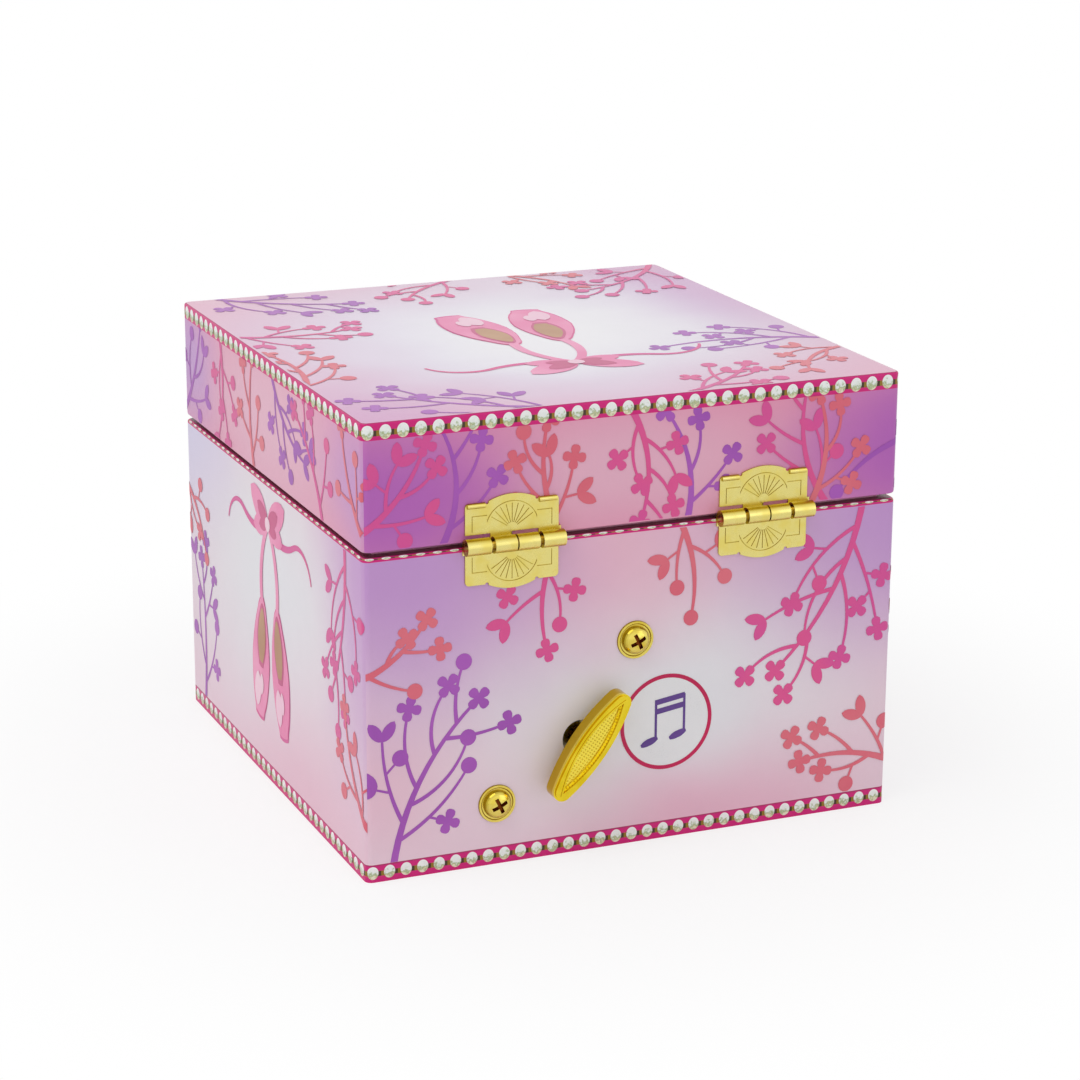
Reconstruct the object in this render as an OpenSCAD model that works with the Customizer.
// Ballerina musical jewellery box: a board case with a hinged lid, an 18-note
// movement with its winding key on the back wall, and a folding dancer.
// The origin is the centre of the footprint, at the bottom. +Z is up,
// the lid opens at the front (-Y) and turns about the hinges on the back (+Y).

/* [Case] */
// Width of the case, along X
box_w = 110; // [104:1:130]
// Depth of the case, front to back
box_d = 112; // [106:1:130]
// Height of the base
base_h = 63.5; // [57:0.5:80]
// Height of the lid
lid_h = 24.1; // [23.5:0.1:34]
// Gap between base and lid
lid_gap = 1.2; // [0.8:0.1:1.6]
// Thickness of the case boards
board_t = 2.5; // [2:0.1:3]
// Rounding of the upright edges
corner_r = 1.2; // [0.6:0.1:1.8]
// Thickness of the card liner strips
liner_t = 1.5; // [1:0.1:2]

/* [Inside] */
// Depth of the movement bay behind the partition
bay_d = 27.5; // [26:0.5:32]
// Thickness of the partition
partition_t = 2; // [1.5:0.1:3]
// Thickness of the deck over the movement
deck_t = 2.5; // [2:0.1:3]
// Depth of the deck's top below the rim of the base
deck_drop = 3.6; // [3.2:0.1:4]
// Thickness of the padded floor
pad_t = 2; // [1.5:0.1:4]
// Place of the divider along X
divider_x = 14; // [0:0.5:24]
// Thickness of the divider
divider_t = 1.5; // [1:0.1:2.5]
// Number of rolls in the ring cushion
rolls = 6; // [4:1:7]
// Thickness of the lid's lining panel
lining_t = 1.5; // [1:0.1:2]
// Thickness of the mirror
mirror_t = 1; // [0.8:0.1:1.6]
// Width of the lining that shows round the mirror
mirror_margin = 9; // [6:0.5:16]

/* [Hinges] */
// Distance of each hinge from the middle of the back wall
hinge_x = 26; // [22:0.5:36]
// Width of a hinge leaf
leaf_w = 18.7; // [17.5:0.1:22]
// Height of a leaf, measured from the hinge axis
leaf_h = 7.9; // [7:0.1:10]
// Height of the dome above a leaf's edge
dome_h = 1.2; // [0.8:0.1:2]
// Width of the dome
dome_w = 10; // [8:0.5:12]
// Thickness of the leaf's sheet
leaf_t = 0.5; // [0.4:0.05:0.7]
// Radius of the rolled edge on a lid leaf
roll_r = 0.5; // [0.4:0.05:0.6]
// Depth of the engraved lines
groove_d = 0.15; // [0.1:0.05:0.3]
// Number of engraved rays in the fan
rays = 9; // [5:2:11]
// Outer radius of the barrel
barrel_r = 1.6; // [1.5:0.05:1.8]
// Radius of the hinge pin
hinge_pin_r = 0.75; // [0.6:0.05:0.9]

/* [Winding key] */
// Place of the key's axis along X
key_x = 11.7; // [8:0.1:14]
// Height of the key's axis
key_z = 23.1; // [22:0.1:23.4]
// Length of the handle
key_l = 24; // [20:0.5:28]
// Width of the handle
key_w = 6.6; // [5.5:0.1:8]
// Thickness of the handle
key_t = 3.9; // [3:0.1:5]
// Radius of the handle's tips
key_tip_r = 1.9; // [1.2:0.1:2.4]
// Gap between the wall and the handle
key_standoff = 2.6; // [2:0.1:5]
// Lean of the handle from the vertical
key_lean = 36.9; // [0:0.1:90]
// Radius of the hole in the wall
key_hole_r = 3.7; // [3.5:0.1:4.5]
// Radius of the winding arbor
wind_arbor_r = 1.6; // [1.4:0.1:2]
// Radius of the blank round badge beside the key
roundel_r = 9.75; // [6:0.25:10]

/* [Movement] */
// Width of the bedplate
plate_w = 46; // [46:1:50]
// Thickness of the bedplate
plate_t = 2; // [1.6:0.1:2.4]
// Height of the comb and cylinder axis above the bedplate
axis_h = 12; // [12:0.1:12.4]
// Module of the spring barrel's teeth
drive_m = 1; // [0.98:0.01:1]
// Teeth on the spring barrel
barrel_teeth = 20; // [20:1:20]
// Teeth on the crown gear
crown_teeth = 12; // [12:1:12]
// Module of the governor train
fine_m = 0.5; // [0.48:0.01:0.5]
// Teeth on the cylinder's gear
cylinder_teeth = 36; // [36:1:36]
// Teeth on the governor pinion
pinion_teeth = 10; // [10:1:10]
// Teeth on the worm wheel
worm_wheel_teeth = 14; // [14:1:14]
// Radius of the music cylinder
cylinder_r = 6.4; // [6:0.1:6.4]
// Height of the music pins
pin_h = 0.45; // [0.3:0.05:0.45]
// Number of notes
notes = 18; // [14:1:20]
// Pins on each note's track
pins_per_note = 6; // [3:1:8]
// Thickness of the comb
comb_t = 1; // [0.8:0.1:1.2]
// Radius of the cylinder's arbor
arbor_r = 1.2; // [1:0.1:1.3]
// Radius of the governor's arbors
fine_arbor_r = 0.6; // [0.5:0.05:0.7]
// Thickness of the bracket plates
bracket_t = 1.2; // [1:0.1:1.4]
// Radius of the air brake's vanes
fan_r = 3.4; // [2.8:0.1:3.4]
// Radius of a case screw's washer
washer_r = 3.8; // [3.4:0.1:4.5]
// Radius of a case screw's domed head
case_head_r = 2.8; // [2.2:0.1:3]

/* [Dancer] */
// Length of the figure from its ferrule to its fingertips
doll_l = 35.5; // [30:0.5:38]
// Radius of the skirt
tutu_r = 9.5; // [7:0.25:9.75]
// Bend radius of the folded spring
bend_r = 7; // [6.5:0.1:7.2]
// Radius of the coil, to the middle of its wire
coil_r = 1.6; // [1.5:0.05:1.8]
// Radius of the spring wire
wire_r = 0.28; // [0.22:0.02:0.3]
// Turns in the dancer's spring
coil_turns = 13; // [9:1:15]
// Radius of the stop rod
rod_r = 0.9; // [0.7:0.1:1]

/* [Hidden] */
$fn = 48;

// Clearances
run_gap = 0.05;
part_gap = 0.3;
seam = 0.05;
lid_rest = 0.1;
eps = 0.01;

// Case
half_w = box_w / 2;
half_d = box_d / 2;
in_w = half_w - board_t;
in_d = half_d - board_t;
lined_w = in_w - liner_t;
lined_d = in_d - liner_t;
lid_z = base_h + lid_gap;
lid_top_z = lid_z + lid_h;
rim_z = lid_z - lid_rest;
deck_z = base_h - deck_drop;
bay_y = in_d - bay_d;
partition_y = bay_y - partition_t;
pad_z = board_t + pad_t;
lining_z = lid_top_z - board_t - lining_t;
mirror_z = lining_z - mirror_t;

// Hinges
axis_y = half_d + leaf_t - 0.2 + barrel_r;
axis_z = base_h + lid_gap / 2;
barrel_l = leaf_w + 1;
knuckles = [[-0.5, -0.27], [-0.23, -0.015], [0, 0.22], [0.26, 0.5]];
swing_r = barrel_r + part_gap;

// Movement, placed from the key's axis and the back wall
plate_y = in_d - plate_t;
music_y = plate_y - axis_h;
plate_reach = 24.7;
plate_x = key_x - plate_reach;
plate_lift = 5.5;
plate_z = board_t + plate_lift;
plate_top = deck_z - deck_t - 2 * part_gap;
screw_out = [-11.2, 17.2];
screw_up = [18.4, -10.8];
screw_at = [for (i = [0, 1]) [key_x + screw_out[i], key_z + screw_up[i]]];
boss_h = 3;
boss_r = 3;
screw_r = 1.45;
barrel_pitch_r = drive_m * barrel_teeth / 2;
crown_pitch_r = drive_m * crown_teeth / 2;
crown_z = key_z + barrel_pitch_r;
crown_tip_z = crown_z - 0.9 * drive_m;
crown_root_z = crown_z + 1.2 * drive_m;
crown_top_z = crown_root_z + 1.1;
lower_z = crown_top_z + part_gap;
bearing_gap = 0.4;
head_gap = 0.5;
deck_gap = 1.3;
gear_t = 1.2;
upper_z = deck_z - deck_t - deck_gap - bracket_t;
gear_z = upper_z - head_gap - gear_t;
cylinder_z = lower_z + bracket_t + bearing_gap;
cylinder_l = gear_z - bearing_gap - cylinder_z;
barrel_gear_y = music_y + crown_pitch_r;
barrel_gear_t = 1.2;
drum_y0 = music_y + 3.5;
drum_y1 = plate_y - part_gap;
drum_r = crown_tip_z - key_z - 0.4;
drum_wall = 0.7;
bridge_t = 1.6;
bridge_y = drum_y0 - part_gap - bridge_t;
bridge_w = 8;
bridge_reach = drive_m * (barrel_teeth / 2 + 1) + 1.4;
leg_w = 3.8;
foot_t = 1.4;
foot_h = 4.6;
pin_w = 0.3;
comb_tip = cylinder_r + pin_h + 0.25;
comb_l = 16.6;
comb_back_l = 8.5;
wheel_x = key_x + fine_m * (cylinder_teeth + pinion_teeth) / 2;
worm_r = 3 * fine_m;
worm_x = wheel_x + fine_m * worm_wheel_teeth / 2 + worm_r;
worm_z = gear_z - 3.2;
worm_y0 = music_y - 3.1;
worm_y1 = music_y + 3.1;
frame_z = worm_z - fan_r - 1.1 - bracket_t;
brake_y = music_y - 5.7;
brake_r = 2;
brake_t = 1.6;
fan_y0 = music_y + fine_m * worm_wheel_teeth / 2 + fine_m + part_gap;
fan_y1 = fan_y0 + 2.8;
arm_out_y = brake_y - brake_t / 2 - part_gap - 2.1;
arm_in_y = fan_y1 + 0.7;
arm_t = 1.4;
arm_w = 3.6;

// Stop rod
rod_y = brake_y;
rod_x = worm_x;
brake_pad_t = 1.5;
pad_bottom = worm_z + brake_r + part_gap;
rod_top = mirror_z - part_gap;
rod_collar_z = deck_z + 1.6;
rod_hole_r = coil_r + wire_r + 0.7;
stop_coil_r = rod_r + wire_r + part_gap;

// Dancer, lying forward along -Y at rest
seat_z = deck_z + 0.4;
seat_disc_t = 1.2;
arbor_inset = 0.3;
seat_top = seat_z + seat_disc_t + 2.5;
doll_z = seat_top + bend_r;
doll_y = music_y - bend_r;
ferrule_l = 4.3;
ferrule_r = 2.8;
foot_s = ferrule_l + 0.3;

// ---------------------------------------------------------------- helpers

// Rectangle with round corners, centred, made of exact arcs
module round_rect(w, d, r) {
    square([w - 2 * r, d], center = true);
    square([w, d - 2 * r], center = true);
    for (sx = [-1, 1], sy = [-1, 1])
        translate([sx * (w / 2 - r), sy * (d / 2 - r)])
            circle(r);
}

// Round rod along Y, from y0 to y1
module y_rod(x, z, y0, y1, r) {
    translate([x, y1, z])
        rotate([90, 0, 0])
            cylinder(r = r, h = y1 - y0);
}

// Upright rod along Z
module z_rod(x, y, z0, z1, r) {
    translate([x, y, z0])
        cylinder(r = r, h = z1 - z0);
}

// Profile drawn in X and Z, given a thickness along Y from y0 to y1
module xz_plate(y0, y1) {
    translate([0, y1, 0])
        rotate([90, 0, 0])
            linear_extrude(y1 - y0)
                children();
}

// Box between two corners
module block(a, b) {
    translate(a)
        cube(b - a);
}

// Mitred corner zone of one wall: 0 back, 90 left, 180 front, 270 right
module mitre(angle, half_a, half_b) {
    inner = board_t + 1;
    out = 1;
    polygon(angle % 180 == 0
        ? [for (p = [[-half_a - out, half_b + out], [half_a + out, half_b + out],
            [half_a - inner, half_b - inner], [-half_a + inner, half_b - inner]])
            angle == 0 ? p : [-p[0], -p[1]]]
        : [for (p = [[half_b + out, -half_a - out], [half_b + out, half_a + out],
            [half_b - inner, half_a - inner], [half_b - inner, -half_a + inner]])
            angle == 270 ? p : [-p[0], -p[1]]]);
}

// One upright board of the case, mitred into its neighbours
module wall(angle, z0, z1) {
    across = angle % 180 == 0 ? half_w : half_d;
    deep = angle % 180 == 0 ? half_d : half_w;
    translate([0, 0, z0])
        linear_extrude(z1 - z0)
            intersection() {
                difference() {
                    round_rect(box_w, box_d, corner_r);
                    square([2 * in_w, 2 * in_d], center = true);
                }
                mitre(angle, across, deep);
            }
}

// Involute of a pressure angle, in degrees
function involute(a) = tan(a) * 180 / PI - a;

// Half angle of a tooth at radius r, for base radius rb
function tooth_half(r, rb, half_pitch, pressure) =
    half_pitch + involute(pressure) - (r > rb ? involute(acos(rb / r)) : 0);

// Outline of an involute gear; thin takes backlash off each tooth's thickness
module gear_outline(teeth, m, thin, phase = 0) {
    pressure = 25;
    pitch_r = teeth * m / 2;
    rb = pitch_r * cos(pressure);
    root_r = pitch_r - 1.2 * m;
    tip_r = pitch_r + 0.85 * m;
    half_pitch = 90 / teeth - thin / 2 / pitch_r * 180 / PI;
    steps = 4;
    flank = [for (i = [0:steps])
        let (r = root_r + (tip_r - root_r) * i / steps)
        [r, tooth_half(r, rb, half_pitch, pressure)]];
    polygon([for (t = [0:teeth - 1], side = [-1, 1], i = [0:steps])
        let (f = side < 0 ? flank[i] : flank[steps - i],
            a = phase + t * 360 / teeth + side * f[1])
        f[0] * [cos(a), sin(a)]]);
}

// Cheese-head screw along Y: the head lies on y, the shank goes towards +Y
module cheese_screw(x, z, y, head_r, shank_r, shank_l) {
    head_t = 1.3;
    difference() {
        union() {
            y_rod(x, z, y - head_t, y, head_r);
            if (shank_l > 0)
                y_rod(x, z, y - eps, y + shank_l, shank_r);
        }
        translate([x - head_r - 1, y - head_t - 1, z - 0.25])
            cube([2 * head_r + 2, 1.6, 0.5]);
    }
}

// Ring of points round a path point, square to the path
function ring(centre, side, up, r, sides) =
    [for (k = [0:sides - 1]) centre + r * (cos(k * 360 / sides) * side + sin(k * 360 / sides) * up)];

// Closed tube through rings of equal size
module tube(rings) {
    n = len(rings);
    s = len(rings[0]);
    polyhedron(
        points = [for (loop = rings, p = loop) p],
        faces = concat(
            [[for (k = [0:s - 1]) k]],
            [for (i = [0:n - 2], k = [0:s - 1])
                [i * s + k, (i + 1) * s + k, (i + 1) * s + (k + 1) % s, i * s + (k + 1) % s]],
            [[for (k = [s - 1:-1:0]) (n - 1) * s + k]]),
        convexity = 6);
}

// Tapered limb of the figure, with round ends
module limb(a, ra, b, rb) {
    hull() {
        translate(a)
            sphere(ra, $fn = 20);
        translate(b)
            sphere(rb, $fn = 20);
    }
}

// Arm bowed outwards from the shoulder to the hand, both in the XZ plane
module bowed_arm(shoulder, hand, bow_r, r) {
    chord = hand - shoulder;
    half = norm(chord) / 2;
    lift = sqrt(bow_r * bow_r - half * half);
    lean = atan2(chord[0], chord[1]);
    sweep = 2 * asin(half / bow_r);
    translate([(shoulder[0] + hand[0]) / 2, 0, (shoulder[1] + hand[1]) / 2])
        rotate([0, lean, 0])
            translate([-lift, 0, 0])
                rotate([90, 0, 0])
                    rotate([0, 0, -sweep / 2])
                        rotate_extrude(angle = sweep, $fn = 64)
                            translate([bow_r, 0])
                                circle(r, $fn = 24);
}

// ------------------------------------------------------------------- case

module base_front() {
    color("lavenderblush")
        wall(180, 0, base_h);
}

module base_back() {
    color("thistle")
        difference() {
            wall(0, 0, base_h);
            y_rod(key_x, key_z, in_d - 1, half_d + 1, key_hole_r);
            for (s = screw_at)
                y_rod(s[0], s[1], in_d - 1, half_d + 1, screw_r + 0.1);
        }
}

module base_left() {
    color("lavender")
        wall(90, 0, base_h);
}

module base_right() {
    color("lavender")
        wall(270, 0, base_h);
}

module base_floor() {
    color("tan")
        block([-in_w, -in_d, 0], [in_w, in_d, board_t]);
}

// Four card strips; the side strips step over the deck
module base_liner() {
    color("pink") {
        block([-in_w, -in_d, board_t], [in_w, -lined_d, rim_z]);
        for (s = [-1, 1])
            translate([s > 0 ? lined_w : -in_w, 0, 0]) {
                block([0, -lined_d + seam, board_t], [liner_t, partition_y, rim_z]);
                block([0, partition_y - eps, deck_z], [liner_t, lined_d - seam, rim_z]);
            }
        block([-in_w, lined_d, deck_z], [in_w, in_d, rim_z]);
    }
}

module partition() {
    color("hotpink")
        block([-in_w, partition_y, board_t], [in_w, bay_y, deck_z - deck_t]);
}

// Deck over the movement, with holes for the dancer's arbor and the stop rod
module deck() {
    color("hotpink")
        difference() {
            block([-in_w, partition_y, deck_z - deck_t], [in_w, in_d, deck_z]);
            z_rod(key_x, music_y, deck_z - deck_t - 1, deck_z + 1, arbor_r + 1.2);
            z_rod(rod_x, rod_y, deck_z - deck_t - 1, deck_z + 1, rod_hole_r);
        }
}

module divider() {
    color("deeppink")
        block([divider_x - divider_t / 2, -lined_d, pad_z],
            [divider_x + divider_t / 2, partition_y, deck_z - 14]);
}

module floor_pad() {
    color("mediumvioletred")
        block([-lined_w, -lined_d, board_t], [lined_w, partition_y, pad_z]);
}

// Padded rolls that hold rings between them
module ring_cushion() {
    x0 = divider_x + divider_t / 2 + part_gap;
    x1 = lined_w - part_gap;
    y0 = -lined_d + part_gap;
    y1 = partition_y - part_gap;
    pitch = (y1 - y0) / rolls;
    core_h = pitch * 0.55;
    color("palevioletred") {
        block([x0, y0, pad_z], [x1, y1, pad_z + core_h]);
        for (i = [0:rolls - 1])
            translate([x0, y0 + pitch * (i + 0.5), pad_z + core_h])
                rotate([0, 90, 0])
                    cylinder(r = pitch / 2 - 0.1, h = x1 - x0);
    }
}

// Blank round badge; it keeps off the edge of the key's hole
module roundel() {
    step = 18;
    rise = 0.9;
    thick = 0.3;
    color("white")
        y_rod(key_x - step, key_z + rise, half_d, half_d + thick,
            min(roundel_r, step - key_hole_r - part_gap));
}

// Domed screws on washers that hold the movement to the back wall
module case_screws() {
    washer_t = 0.5;
    dome_t = 1.6;
    slot_l = case_head_r * 1.15;
    slot_w = 0.75;
    color("gold")
        for (s = screw_at)
            difference() {
                union() {
                    translate([s[0], half_d, s[1]])
                        rotate([-90, 0, 0])
                            rotate_extrude()
                                polygon(concat(
                                    [[0, 0], [washer_r - 0.15, 0], [washer_r, 0.15], [washer_r - 0.1, washer_t],
                                        [washer_r - 0.5, washer_t], [washer_r - 0.7, washer_t - 0.15],
                                        [case_head_r, washer_t - 0.15]],
                                    [for (a = [0:10:90]) [case_head_r * cos(a), washer_t + dome_t * sin(a)]]));
                    y_rod(s[0], s[1], plate_y - boss_h + 0.5, half_d + eps, screw_r);
                }
                for (turn = [0, 90])
                    translate([s[0], half_d + washer_t + dome_t, s[1]])
                        rotate([0, turn + 25, 0])
                            cube([slot_l, 1.8, slot_w], center = true);
            }
}

// --------------------------------------------------------------- movement

// Die-cast plate that carries the movement, with two screw bosses
module bedplate() {
    color("silver")
        difference() {
            union() {
                xz_plate(plate_y, in_d)
                    translate([plate_x + plate_w / 2, (plate_z + plate_top) / 2])
                        round_rect(plate_w, plate_top - plate_z, 2);
                for (s = screw_at)
                    y_rod(s[0], s[1], plate_y - boss_h, plate_y + eps, boss_r);
            }
            for (s = screw_at)
                y_rod(s[0], s[1], plate_y - boss_h - 1, in_d + 1, screw_r);
            y_rod(key_x, key_z, plate_y - 1, in_d + 1, wind_arbor_r + 0.4 + run_gap);
        }
}

// Bracket under the cylinder, with its lower bearing
module lower_bracket() {
    color("silver")
        difference() {
            union() {
                block([key_x - 4, music_y - 3.2, lower_z], [key_x + 4, plate_y, lower_z + bracket_t]);
                block([key_x - 4, plate_y - foot_t, lower_z + bracket_t - eps],
                    [key_x + 4, plate_y, lower_z + bracket_t + foot_h]);
            }
            z_rod(key_x, music_y, lower_z - 1, lower_z + bracket_t + 1, arbor_r + run_gap);
        }
}

// Bracket over the cylinder: top bearings and the stop rod's guide
module upper_bracket() {
    reach = rod_x + rod_r + 1.8;
    color("silver")
        difference() {
            union() {
                translate([0, 0, upper_z])
                    linear_extrude(bracket_t)
                        polygon([[key_x - 5, plate_y], [key_x - 5, music_y - 1.5],
                            [key_x - 2.5, music_y - 4], [wheel_x, music_y - 4],
                            [rod_x - 2.7, rod_y - 2.7], [reach, rod_y - 2.7],
                            [reach, plate_y]]);
                block([key_x + 7, plate_y - foot_t, upper_z - foot_h], [key_x + 13, plate_y, upper_z + eps]);
            }
            z_rod(key_x, music_y, upper_z - 1, upper_z + bracket_t + 1, arbor_r + run_gap);
            z_rod(wheel_x, music_y, upper_z - 1, upper_z + bracket_t + 1, fine_arbor_r + run_gap);
            z_rod(rod_x, rod_y, upper_z - 1, upper_z + bracket_t + 1, rod_r + run_gap);
        }
}

// Shelf under the worm wheel, with two arms that carry the worm
module governor_frame() {
    x0 = wheel_x - 2.7;
    x1 = worm_x + 4.3;
    color("silver")
        difference() {
            union() {
                block([x0, arm_out_y, frame_z], [x1, plate_y, frame_z + bracket_t]);
                block([worm_x - 2, plate_y - foot_t, frame_z + bracket_t - eps],
                    [x1, plate_y, frame_z + bracket_t + foot_h]);
                for (y = [arm_out_y, arm_in_y])
                    block([worm_x - arm_w / 2, y, frame_z + bracket_t - eps],
                        [worm_x + arm_w / 2, y + arm_t, worm_z + arm_w / 2]);
            }
            z_rod(wheel_x, music_y, frame_z - 1, frame_z + bracket_t + 1, fine_arbor_r + run_gap);
            y_rod(worm_x, worm_z, arm_out_y - 1, arm_in_y + arm_t + 1, fine_arbor_r + run_gap);
        }
}

// Block that lifts the comb to the cylinder's axis
module comb_block() {
    color("silver")
        difference() {
            block([key_x - comb_tip - comb_l, music_y + comb_t / 2, cylinder_z - 0.6],
                [key_x - comb_tip - comb_l + comb_back_l, plate_y, cylinder_z + cylinder_l]);
            for (z = comb_screw_z)
                y_rod(comb_screw_x, z, music_y, music_y + comb_t / 2 + 4, 0.9);
        }
}

comb_screw_x = key_x - comb_tip - comb_l + comb_back_l / 2;
comb_screw_z = [cylinder_z + cylinder_l * 0.22, cylinder_z + cylinder_l * 0.78];

// Depth of the slot above note i; bass notes have the longer teeth
function slot_l(i) = comb_l - comb_back_l + 1.5 - 3.2 * i / notes;

// Tuned steel comb: graduated slots part the teeth, weights load the bass ones
module comb() {
    z0 = cylinder_z + 0.3;
    pitch = (cylinder_l - 0.6) / notes;
    x_tip = key_x - comb_tip;
    weights = floor(notes / 3);
    color("lightgray")
        difference() {
            union() {
                block([x_tip - comb_l, music_y - comb_t / 2, z0],
                    [x_tip, music_y + comb_t / 2, z0 + notes * pitch]);
                for (i = [0:weights - 1])
                    block([x_tip - 4.4 + 0.4 * i, music_y + comb_t / 2 - eps, z0 + (i + 0.2) * pitch],
                        [x_tip - 1, music_y + comb_t / 2 + 1.7 - 0.2 * i, z0 + (i + 0.8) * pitch]);
            }
            for (i = [1:notes - 1])
                block([x_tip - slot_l(i), music_y - comb_t, z0 + i * pitch - 0.09],
                    [x_tip + 1, music_y + comb_t, z0 + i * pitch + 0.09]);
            for (z = comb_screw_z)
                y_rod(comb_screw_x, z, music_y - comb_t, music_y + comb_t, 0.9);
        }
}

module comb_screws() {
    color("steelblue")
        for (z = comb_screw_z)
            cheese_screw(comb_screw_x, z, music_y - comb_t / 2, 1.9, 0.9, comb_t + 3.8);
}

// Bridge over the spring barrel that holds the winding arbor's inner end
module barrel_bridge() {
    color("silver")
        difference() {
            union() {
                block([key_x - bridge_reach - leg_w, bridge_y, key_z - bridge_w / 2],
                    [key_x + bridge_reach + leg_w, bridge_y + bridge_t, key_z + bridge_w / 2]);
                for (s = [-1, 1])
                    translate([key_x + s * (bridge_reach + leg_w / 2), 0, key_z])
                        block([-leg_w / 2, bridge_y, -bridge_w / 2], [leg_w / 2, plate_y, bridge_w / 2]);
            }
            y_rod(key_x, key_z, bridge_y - 1, bridge_y + bridge_t + 1, wind_arbor_r + run_gap);
            for (s = [-1, 1])
                y_rod(key_x + s * (bridge_reach + leg_w / 2), key_z, bridge_y - 1, bridge_y + 5, 0.9);
        }
}

module bridge_screws() {
    color("steelblue")
        for (s = [-1, 1])
            cheese_screw(key_x + s * (bridge_reach + leg_w / 2), key_z, bridge_y, 1.7, 0.9, 5);
}

// Screws in the feet of the three brackets
module bracket_screws() {
    color("steelblue") {
        cheese_screw(key_x, lower_z + bracket_t + foot_h / 2, plate_y - foot_t, 1.5, 0, 0);
        cheese_screw(key_x + 10, upper_z - foot_h / 2, plate_y - foot_t, 1.5, 0, 0);
        cheese_screw(worm_x + 2, frame_z + bracket_t + foot_h / 2, plate_y - foot_t, 1.5, 0, 0);
    }
}

// Toothed spring barrel: a cup that is open towards the bedplate
module barrel_drum() {
    color("goldenrod")
        difference() {
            union() {
                y_rod(key_x, key_z, drum_y0, drum_y1, drum_r);
                translate([key_x, 0, key_z])
                    xz_plate(barrel_gear_y - barrel_gear_t / 2, barrel_gear_y + barrel_gear_t / 2)
                        gear_outline(barrel_teeth, drive_m, 0.3, 90);
            }
            y_rod(key_x, key_z, drum_y0 + 0.8, drum_y1 + 1, drum_r - drum_wall);
            y_rod(key_x, key_z, drum_y0 - 1, drum_y1, wind_arbor_r + run_gap);
        }
}

module barrel_cap() {
    color("gold")
        difference() {
            y_rod(key_x, key_z, drum_y1 - 0.8, drum_y1, drum_r - drum_wall);
            y_rod(key_x, key_z, drum_y1 - 2, drum_y1 + 1, wind_arbor_r + run_gap);
        }
}

// Spiral steel strip coiled in the barrel
module mainspring() {
    turns = 6;
    steps = 20;
    r0 = wind_arbor_r + 0.5;
    r1 = drum_r - drum_wall - 0.35;
    strip = 0.22;
    line = [for (i = [0:turns * steps])
        let (r = r0 + (r1 - r0) * i / (turns * steps), a = i * 360 / steps)
        [r, a]];
    last = len(line) - 1;
    color("darkgray")
        translate([key_x, 0, key_z])
            xz_plate(drum_y0 + 1.1, drum_y1 - 1.1)
                polygon(concat(
                    [for (p = line) p[0] * [cos(p[1]), sin(p[1])]],
                    [for (i = [last:-1:0]) (line[i][0] + strip) * [cos(line[i][1]), sin(line[i][1])]]));
}

// Arbor that winds the spring and carries the key
module winding_arbor() {
    color("silver") {
        y_rod(key_x, key_z, bridge_y - 0.6, key_y0 + key_t * 0.6, wind_arbor_r);
        y_rod(key_x, key_z, plate_y + run_gap, in_d, wind_arbor_r + 0.4);
    }
}

key_y0 = half_d + key_standoff;

// Boat-shaped outline of the handle: two large arcs that run into round tips
module key_outline(grow) {
    reach = key_l / 2 - key_tip_r;
    bulge = key_w / 2 - key_tip_r;
    arc_r = (reach * reach + bulge * bulge) / (2 * bulge);
    cut = reach * (1 + (key_tip_r + grow) / arc_r);
    intersection() {
        lens(arc_r - bulge, arc_r + key_tip_r + grow);
        square([key_w + 2, 2 * cut], center = true);
    }
    for (s = [-1, 1])
        translate([0, s * reach])
            circle(key_tip_r + grow);
}

// What two equal discs, set apart along X, have in common
module lens(offset_x, r) {
    intersection_for (s = [-1, 1])
        translate([s * offset_x, 0])
            circle(r, $fn = 160);
}

// Lens-shaped recess in the handle's face
module key_lens(grow) {
    lens_l = key_l * 0.86;
    lens_w = key_w * 0.64;
    arc_r = (lens_l * lens_l / 4 + lens_w * lens_w / 4) / lens_w;
    lens(arc_r - lens_w / 2, arc_r + grow);
}

// Winding key: a plated boat-shaped grip with a lens-shaped recess, on a round stem
module winding_key() {
    edge = 0.35;
    rim_w = 0.3;
    rim_h = 0.15;
    recess = 0.8;
    face_y = key_y0 + key_t - rim_h;
    color("gold")
        difference() {
            union() {
                translate([key_x, 0, key_z])
                    rotate([0, -key_lean, 0]) {
                        xz_plate(key_y0, face_y - edge)
                            key_outline(0);
                        xz_plate(key_y0, face_y)
                            key_outline(-edge);
                        xz_plate(face_y - eps, face_y + rim_h)
                            key_lens(rim_w);
                    }
                y_rod(key_x, key_z, in_d + bearing_gap, key_y0 + eps, wind_arbor_r + 0.9);
            }
            translate([key_x, 0, key_z])
                rotate([0, -key_lean, 0])
                    xz_plate(face_y - recess, face_y + 1)
                        key_lens(0);
            y_rod(key_x, key_z, in_d - 1, key_y0 + key_t * 0.6, wind_arbor_r);
        }
}

// Arbor from the lower bearing up through the deck
module cylinder_arbor() {
    color("silver")
        z_rod(key_x, music_y, crown_root_z - 0.4, seat_z + seat_disc_t - arbor_inset, arbor_r);
}

// Place round the cylinder of pin k on the track of note i
function pin_angle(i, k) = (k + 0.37 * sin(137 * i + 71 * k)) * 360 / pins_per_note + 53 * i;

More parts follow.
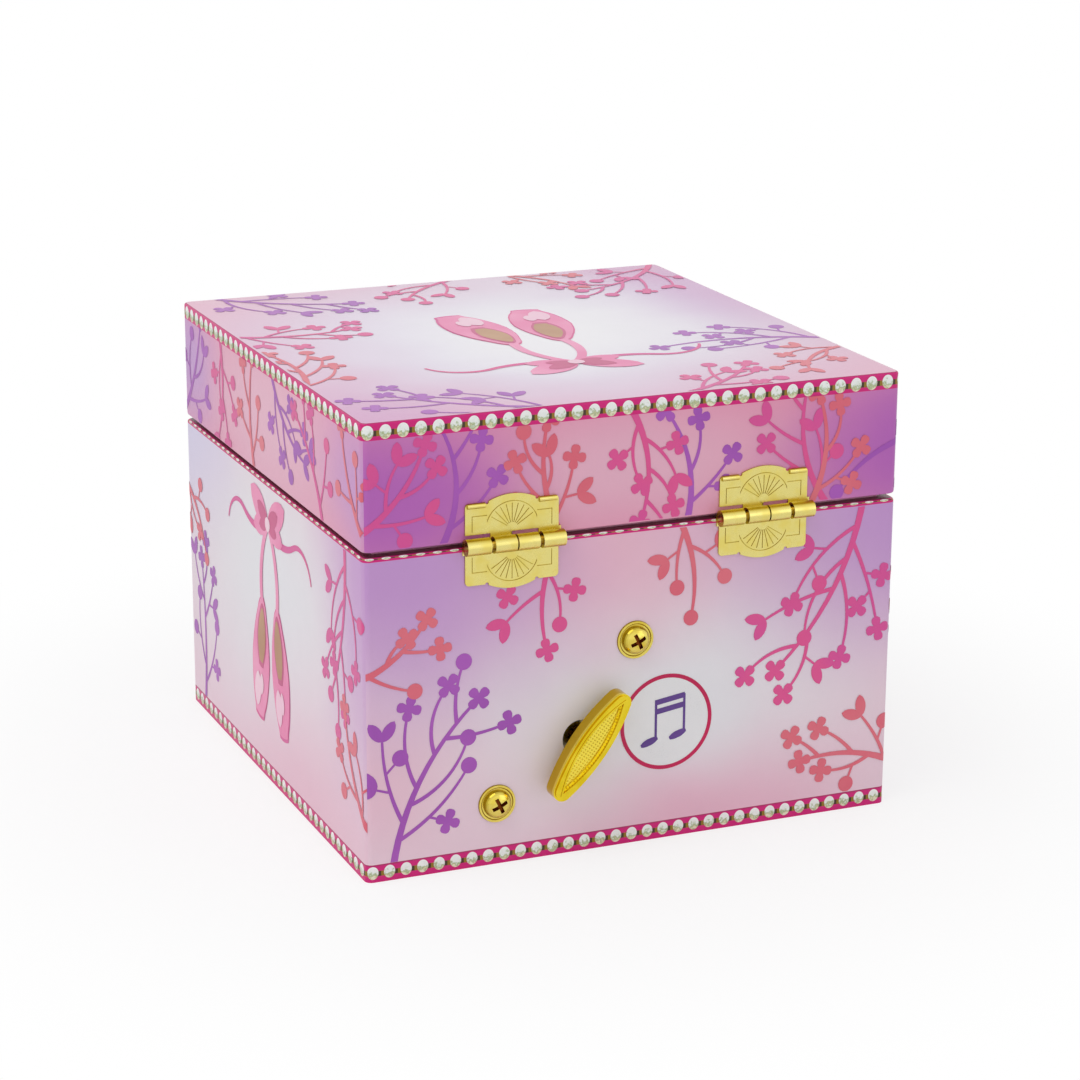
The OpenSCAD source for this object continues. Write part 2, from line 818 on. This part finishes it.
// Brass cylinder with the tune pinned round it, one track for each note
module music_cylinder() {
    pitch = (cylinder_l - 0.6) / notes;
    color("goldenrod")
        difference() {
            union() {
                z_rod(key_x, music_y, cylinder_z, cylinder_z + cylinder_l, cylinder_r);
                for (i = [0:notes - 1], k = [0:pins_per_note - 1])
                    translate([key_x, music_y, cylinder_z + 0.3 + (i + 0.5) * pitch])
                        rotate([0, 90, pin_angle(i, k)])
                            translate([-pin_w / 2, -pin_w / 2, cylinder_r - 1])
                                cube([pin_w, pin_w, 1 + pin_h]);
            }
            z_rod(key_x, music_y, cylinder_z - 1, cylinder_z + cylinder_l + 1, arbor_r);
        }
}

// Crown gear: its teeth point down into the barrel's teeth
module crown_gear() {
    tooth_l = crown_pitch_r * 0.38;
    half_tip = 0.24 * drive_m;
    half_root = 0.6 * drive_m;
    color("goldenrod")
        difference() {
            union() {
                z_rod(key_x, music_y, crown_root_z, crown_top_z, crown_pitch_r + 1.3);
                for (t = [0:crown_teeth - 1])
                    translate([key_x, music_y, 0])
                        rotate([0, 0, (t + 0.5) * 360 / crown_teeth])
                            xz_plate(crown_pitch_r - tooth_l / 2, crown_pitch_r + tooth_l / 2)
                                polygon([[-half_tip, crown_tip_z], [half_tip, crown_tip_z],
                                    [half_root, crown_root_z + eps], [-half_root, crown_root_z + eps]]);
            }
            z_rod(key_x, music_y, crown_tip_z - 1, crown_top_z + 1, arbor_r);
        }
}

// Gear on top of the cylinder that drives the governor
module cylinder_gear() {
    color("goldenrod")
        translate([key_x, music_y, gear_z])
            difference() {
                union() {
                    linear_extrude(gear_t)
                        gear_outline(cylinder_teeth, fine_m, 0.12, 180 / cylinder_teeth);
                    translate([0, 0, cylinder_z + cylinder_l - gear_z])
                        cylinder(r = 3, h = gear_t);
                }
                translate([0, 0, -1])
                    cylinder(r = arbor_r, h = gear_t + 2);
            }
}

// Governor wheel: pinion above, worm wheel below, on one arbor
module governor_wheel() {
    wheel_t = 1.1;
    color("goldenrod")
        translate([wheel_x, music_y, 0]) {
            translate([0, 0, gear_z])
                linear_extrude(gear_t)
                    gear_outline(pinion_teeth, fine_m, 0.12, 0);
            translate([0, 0, worm_z - wheel_t / 2])
                linear_extrude(wheel_t)
                    gear_outline(worm_wheel_teeth, fine_m, 0.3, 0);
            translate([0, 0, frame_z - 0.4])
                cylinder(r = fine_arbor_r, h = upper_z + bracket_t + 0.4 - frame_z);
        }
}

// Worm on the governor's arbor, with the brake disc at its outer end
module governor_worm() {
    lead = PI * fine_m;
    turns = (worm_y1 - worm_y0) / lead;
    color("lightgray") {
        translate([worm_x, worm_y1, worm_z])
            rotate([90, 0, 0])
                linear_extrude(worm_y1 - worm_y0, twist = -360 * turns, slices = ceil(turns * 14), $fn = 14)
                    translate([fine_m * 0.8, 0])
                        circle(worm_r - fine_m * 0.4, $fn = 14);
        y_rod(worm_x, worm_z, arm_out_y + 0.2, arm_in_y + arm_t - 0.2, fine_arbor_r);
        y_rod(worm_x, worm_z, brake_y - brake_t / 2, brake_y + brake_t / 2, brake_r);
    }
}

// Two-vane air brake that keeps the speed even
module governor_fan() {
    color("goldenrod")
        difference() {
            union() {
                y_rod(worm_x, worm_z, fan_y0, fan_y1, fine_arbor_r + 0.6);
                block([worm_x - fan_r, fan_y0 + 0.2, worm_z - 0.2], [worm_x + fan_r, fan_y1 - 0.2, worm_z + 0.2]);
            }
            y_rod(worm_x, worm_z, fan_y0 - 1, fan_y1 + 1, fine_arbor_r);
        }
}

// ---------------------------------------------------------------- stop rod

// Rod that the closed lid holds down on the governor's brake disc
module stop_rod() {
    color("silver") {
        z_rod(rod_x, rod_y, pad_bottom + brake_pad_t / 2, rod_top, rod_r);
        z_rod(rod_x, rod_y, rod_collar_z, rod_collar_z + 0.8, stop_coil_r + wire_r);
        translate([rod_x, rod_y, rod_top - rod_r])
            sphere(rod_r);
    }
}

module stop_pad() {
    color("saddlebrown")
        difference() {
            z_rod(rod_x, rod_y, pad_bottom, pad_bottom + brake_pad_t, rod_r + 0.6);
            z_rod(rod_x, rod_y, pad_bottom + brake_pad_t / 2, pad_bottom + brake_pad_t + 1, rod_r);
        }
}

// Coil that lifts the rod off the brake disc when the lid opens
module stop_spring() {
    z0 = upper_z + bracket_t + part_gap + wire_r;
    z1 = rod_collar_z - wire_r - 0.1;
    turns = 5;
    steps = 12;
    color("silver")
        translate([rod_x, rod_y, 0])
            tube([for (i = [0:turns * steps])
                let (a = i * 360 / steps, out = [cos(a), sin(a), 0])
                ring([0, 0, z0 + (z1 - z0) * i / (turns * steps)] + stop_coil_r * out, out, [0, 0, 1], wire_r, 6)]);
}

// ------------------------------------------------------------------ dancer

// Turned seat on the cylinder's arbor that carries the dancer's spring
module dancer_seat() {
    color("gold")
        translate([key_x, music_y, seat_z])
            difference() {
                rotate_extrude()
                    polygon([[0, 0], [4.6, 0], [5, 0.5], [4.6, seat_disc_t], [coil_r - wire_r - part_gap, seat_disc_t],
                        [coil_r - wire_r - part_gap - 0.2, seat_top - seat_z], [0, seat_top - seat_z]]);
                translate([0, 0, -1])
                    cylinder(r = arbor_r, h = seat_disc_t + 1 - arbor_inset);
            }
}

// Point and heading along the folded spring: up, round the bend, then forward
spring_rise = seat_top - seat_z - seat_disc_t - part_gap;
spring_bend = bend_r * PI / 2;
spring_end = 2.6;
spring_l = spring_rise + spring_bend + spring_end;

function spring_at(s) =
    s < spring_rise ? [[0, seat_top - spring_rise + s], 90]
    : s < spring_rise + spring_bend
        ? let (a = (s - spring_rise) / bend_r * 180 / PI)
            [[-bend_r + bend_r * cos(a), seat_top + bend_r * sin(a)], 90 - a]
        : [[-bend_r - (s - spring_rise - spring_bend), doll_z], 0];

// Coil spring that folds when the lid closes; it is bent forward at rest
module dancer_spring() {
    steps = 12;
    count = coil_turns * steps;
    color("silver")
        translate([key_x, music_y, 0])
            tube([for (i = [0:count])
                let (p = spring_at(spring_l * i / count), h = p[1], a = i * 360 / steps,
                    side = [1, 0, 0], up = [0, sin(h), cos(h)],
                    out = cos(a) * side + sin(a) * up, ahead = [0, -cos(h), sin(h)])
                ring([0, p[0][0], p[0][1]] + coil_r * out, out, ahead, wire_r, 6)]);
}

// Turns the figure's own upright frame into its folded place
module lying() {
    translate([key_x, doll_y, doll_z])
        rotate([90, 0, 0])
            children();
}

// Cup that grips the spring's end and the figure's foot
module dancer_ferrule() {
    bore = coil_r + wire_r + part_gap;
    color("gold")
        lying()
            rotate_extrude()
                polygon([[bore, 0.3], [ferrule_r, 0.3], [ferrule_r, 1], [ferrule_r - 0.3, 1.3],
                    [ferrule_r - 0.3, ferrule_l - 0.8], [1, ferrule_l + 0.3], [0, ferrule_l + 0.3],
                    [0, spring_end + 0.5], [bore, spring_end + 0.5]]);
}

// Heights along the figure, from its standing toe
fig = doll_l - ferrule_l;
hip_s = foot_s + fig * 0.48;
waist_s = foot_s + fig * 0.55;
chest_s = foot_s + fig * 0.66;
neck_s = foot_s + fig * 0.73;
head_s = foot_s + fig * 0.82;
hand_s = foot_s + fig * 0.99;
head_r = fig * 0.066;
tutu_s = foot_s + fig * 0.5;
tutu_t = 1.6;

// Standing figure: on one toe, the other foot at the knee, arms rounded overhead
module dancer_body() {
    leg = hip_s - foot_s;
    color("bisque")
        lying()
            difference() {
                union() {
                    translate([0.5, 0, 0])
                        rotate_extrude($fn = 32)
                            polygon([[0, foot_s], [0.45, foot_s], [0.6, foot_s + leg * 0.1],
                                [0.62, foot_s + leg * 0.2], [1.05, foot_s + leg * 0.38],
                                [0.85, foot_s + leg * 0.5], [1.3, foot_s + leg * 0.75],
                                [1.5, hip_s], [0, hip_s]]);
                    limb([-0.8, 0, hip_s - 0.6], 1.35, [-4.1, -1.6, foot_s + leg * 0.66], 0.85);
                    limb([-4.1, -1.6, foot_s + leg * 0.66], 0.85, [-0.6, -0.7, foot_s + leg * 0.45], 0.5);
                    rotate_extrude($fn = 40)
                        polygon([[0, hip_s - 1.2], [1.6, hip_s - 1], [2.2, hip_s], [2.1, hip_s + 0.8],
                            [1.35, waist_s], [1.75, chest_s - 0.6], [1.7, chest_s], [1.1, neck_s - 1],
                            [0.6, neck_s - 0.4], [0.55, neck_s + 0.8], [0, neck_s + 0.8]]);
                    translate([0, 0, head_s])
                        sphere(head_r);
                    for (s = [0, 1])
                        mirror([s, 0, 0])
                            translate([0, -0.25, 0])
                                bowed_arm([1.2, chest_s - 0.5], [0.7, hand_s - 0.3], fig * 0.2, 0.5);
                }
                translate([0, 0, tutu_s])
                    rotate_extrude($fn = 48)
                        polygon([[1.9, 0], [3, -0.3], [3, tutu_t + 0.3], [1.9, tutu_t]]);
            }
}

// Net skirt, a shallow disc that dips at its edge
module dancer_tutu() {
    color("pink")
        lying()
            translate([0, 0, tutu_s])
                rotate_extrude($fn = 64)
                    polygon([[1.9, 0.1], [3, 0], [tutu_r * 0.7, -0.5], [tutu_r, -1.3],
                        [tutu_r, -0.6], [tutu_r * 0.7, 0.8], [3, tutu_t], [1.9, tutu_t - 0.1]]);
}

// Hair: a cap over the back of the head and a bun
module dancer_hair() {
    color("saddlebrown")
        lying()
            difference() {
                union() {
                    translate([0, 0.2, head_s + 0.2])
                        sphere(head_r + 0.25);
                    translate([0, 0.6, head_s + head_r + 0.35])
                        sphere(head_r * 0.45);
                }
                translate([0, 0, head_s])
                    sphere(head_r);
                translate([-4, -8.6, head_s - 4])
                    cube([8, 8, 4.5]);
                translate([-4, -4, head_s - head_r - 4])
                    cube([8, 8, 4.2]);
                translate([0, -0.9, head_s - 0.55])
                    rotate([90, 0, 0])
                        cylinder(r = head_r * 0.82, h = 4);
            }
}

// --------------------------------------------------------------------- lid

module lid_top() {
    color("plum")
        translate([0, 0, lid_top_z - board_t])
            linear_extrude(board_t)
                round_rect(box_w, box_d, corner_r);
}

module lid_front() {
    color("plum")
        wall(180, lid_z, lid_top_z - board_t);
}

module lid_back() {
    color("plum")
        wall(0, lid_z, lid_top_z - board_t);
}

module lid_left() {
    color("plum")
        wall(90, lid_z, lid_top_z - board_t);
}

module lid_right() {
    color("plum")
        wall(270, lid_z, lid_top_z - board_t);
}

// Four card strips inside the lid's walls
module lid_liner() {
    color("pink") {
        for (s = [-1, 1])
            translate([0, s > 0 ? lined_d : -in_d, 0])
                block([-in_w, 0, lid_z], [in_w, liner_t, lining_z]);
        for (s = [-1, 1])
            translate([s > 0 ? lined_w : -in_w, 0, 0])
                block([0, -lined_d + seam, lid_z], [liner_t, lined_d - seam, lining_z]);
    }
}

module lid_lining() {
    color("hotpink")
        block([-in_w, -in_d, lining_z], [in_w, in_d, lid_top_z - board_t]);
}

module lid_mirror() {
    color("lightcyan")
        translate([0, 0, mirror_z])
            linear_extrude(mirror_t)
                round_rect(2 * (lined_w - mirror_margin), 2 * (lined_d - mirror_margin), 3);
}

// ------------------------------------------------------------------ hinges

// Sheet of one leaf, drawn upwards from the hinge axis; edge is its lower edge
module leaf_outline(edge) {
    corner = 0.8;
    notch = 0.35;
    dome_r = (dome_w * dome_w / 4 + dome_h * dome_h) / (2 * dome_h);
    difference() {
        union() {
            translate([-leaf_w / 2, edge])
                square([leaf_w, leaf_h - corner - edge]);
            translate([-leaf_w / 2 + corner, leaf_h - 2 * corner])
                square([leaf_w - 2 * corner, 2 * corner]);
            for (s = [-1, 1])
                translate([s * (leaf_w / 2 - corner), leaf_h - corner])
                    circle(corner);
            intersection() {
                translate([0, leaf_h + dome_h - dome_r])
                    circle(dome_r, $fn = 96);
                translate([-dome_w / 2, leaf_h - 1])
                    square([dome_w, dome_h + 2]);
            }
        }
        for (s = [-1, 1])
            translate([s * dome_w / 2, leaf_h])
                circle(notch);
    }
}

// Engraved lines: a fan of rays under an arc, and the corner of a panel each side
module leaf_lines() {
    line_w = 0.16;
    base = swing_r + 0.5;
    hub = 1.2;
    fan = leaf_h - base - 0.6;
    panel_x = leaf_w / 2 - 1.3;
    panel_z = leaf_h - 2.4;
    translate([0, base])
        for (i = [0:rays - 1])
            rotate((i - (rays - 1) / 2) * 130 / rays)
                translate([-line_w / 2, hub])
                    square([line_w, fan - hub]);
    intersection() {
        translate([0, base])
            difference() {
                circle(fan + 0.5, $fn = 64);
                circle(fan + 0.5 - line_w, $fn = 64);
            }
        translate([-dome_w / 2, base + hub])
            square([dome_w, fan]);
    }
    for (s = [-1, 1])
        mirror([s < 0 ? 1 : 0, 0]) {
            translate([panel_x - line_w, base])
                square([line_w, panel_z - base]);
            translate([dome_w / 2, panel_z - line_w])
                square([panel_x - dome_w / 2, line_w]);
        }
}

// One leaf with its own knuckles; flip turns it downwards for the base, and
// only the lid's leaves have rolled edges
module hinge_leaf(x, own, flip) {
    roll_gap = 0.4;
    roll_l = (leaf_w - dome_w) / 2 - 2 * roll_gap;
    color("gold")
        difference() {
            union() {
                translate([x, 0, axis_z])
                    mirror([0, 0, flip]) {
                        difference() {
                            xz_plate(half_d, half_d + leaf_t)
                                leaf_outline(swing_r);
                            xz_plate(half_d + leaf_t - groove_d, half_d + leaf_t + 1)
                                leaf_lines();
                        }
                        for (k = own)
                            block([knuckles[k][0] * barrel_l, half_d, 0],
                                [knuckles[k][1] * barrel_l, half_d + leaf_t, swing_r + eps]);
                        if (flip == 0)
                            for (x0 = [-leaf_w / 2 + roll_gap, dome_w / 2 + roll_gap])
                                translate([x0, half_d + roll_r, leaf_h - roll_r])
                                    rotate([0, 90, 0])
                                        cylinder(r = roll_r, h = roll_l);
                    }
                for (k = own)
                    translate([x + knuckles[k][0] * barrel_l, axis_y, axis_z])
                        rotate([0, 90, 0])
                            cylinder(r = barrel_r, h = (knuckles[k][1] - knuckles[k][0]) * barrel_l);
            }
            translate([x - barrel_l, axis_y, axis_z])
                rotate([0, 90, 0])
                    cylinder(r = hinge_pin_r + (flip == 1 ? 0 : run_gap), h = 2 * barrel_l);
        }
}

module hinge_base_leaf_left() {
    hinge_leaf(-hinge_x, [1, 3], 1);
}

module hinge_base_leaf_right() {
    hinge_leaf(hinge_x, [1, 3], 1);
}

module hinge_lid_leaf_left() {
    hinge_leaf(-hinge_x, [0, 2], 0);
}

module hinge_lid_leaf_right() {
    hinge_leaf(hinge_x, [0, 2], 0);
}

module hinge_pins() {
    color("silver")
        for (s = [-1, 1])
            translate([s * hinge_x - barrel_l / 2, axis_y, axis_z])
                rotate([0, 90, 0])
                    cylinder(r = hinge_pin_r, h = barrel_l);
}

base_front();
base_back();
base_left();
base_right();
base_floor();
base_liner();
partition();
deck();
divider();
floor_pad();
ring_cushion();
roundel();
case_screws();
bedplate();
lower_bracket();
upper_bracket();
governor_frame();
comb_block();
comb();
comb_screws();
barrel_bridge();
bridge_screws();
bracket_screws();
barrel_drum();
barrel_cap();
mainspring();
winding_arbor();
winding_key();
cylinder_arbor();
music_cylinder();
crown_gear();
cylinder_gear();
governor_wheel();
governor_worm();
governor_fan();
stop_rod();
stop_pad();
stop_spring();
dancer_seat();
dancer_spring();
dancer_ferrule();
dancer_body();
dancer_tutu();
dancer_hair();
lid_top();
lid_front();
lid_back();
lid_left();
lid_right();
lid_liner();
lid_lining();
lid_mirror();
hinge_base_leaf_left();
hinge_base_leaf_right();
hinge_lid_leaf_left();
hinge_lid_leaf_right();
hinge_pins();
